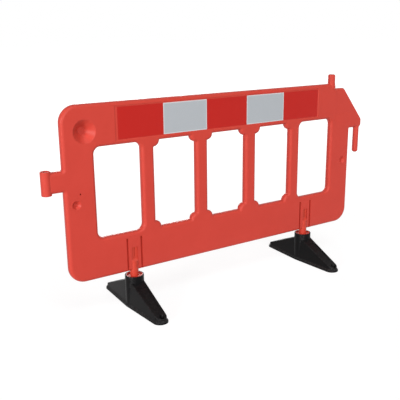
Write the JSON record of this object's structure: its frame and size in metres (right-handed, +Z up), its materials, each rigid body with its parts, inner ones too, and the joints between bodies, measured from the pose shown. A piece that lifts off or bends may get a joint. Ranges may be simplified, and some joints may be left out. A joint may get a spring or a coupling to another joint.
{
  "type": "pedestrian safety barrier",
  "caption": "Plastic pedestrian barrier: a windowed hollow panel with reflective bands, link eye and peg, a lamp spigot, and anti-trip feet that swivel flat for stacking.",
  "frame": {"origin": "on the ground, midway between the two feet, on the line of the legs' axes", "axes": "+X along the panel towards the link arm, +Z up; the front with the corner cone faces -Y"},
  "size_m": [1.98, 0.57, 1.065],
  "materials": {
    "panel_plastic": "satin moulded orange-red",
    "leg_plastic": "satin moulded orange-red",
    "foot_rubber": "moulded black rubber, slightly shiny",
    "red_film": "retroreflective red film",
    "white_film": "retroreflective white film",
    "zinc_steel": "bright zinc plating"
  },
  "bodies": {
    "barrier": {"panel": "panel_plastic", "leg_left": "leg_plastic", "leg_screw_left": "zinc_steel", "foot_washer_left": "zinc_steel", "foot_screw_left": "zinc_steel", "leg_right": "leg_plastic", "leg_screw_right": "zinc_steel", "foot_washer_right": "zinc_steel", "foot_screw_right": "zinc_steel", "film_front_1_red": "red_film", "film_front_2_white": "white_film", "film_front_3_red": "red_film", "film_front_4_white": "white_film", "film_front_5_red": "red_film", "film_rear_1_red": "red_film", "film_rear_2_white": "white_film", "film_rear_3_red": "red_film", "film_rear_4_white": "white_film", "film_rear_5_red": "red_film"},
    "foot_left": {"foot_left": "foot_rubber"},
    "foot_right": {"foot_right": "foot_rubber"}
  },
  "joints": [
    {"name": "foot_left_swivel", "type": "hinge", "parent": "barrier", "child": "foot_left", "pos_m": [-0.556, 0, 0.1], "axis": [0, 0, 1], "continuous": true},
    {"name": "foot_right_swivel", "type": "hinge", "parent": "barrier", "child": "foot_right", "pos_m": [0.556, 0, 0.1], "axis": [0, 0, 1], "continuous": true}
  ]
}
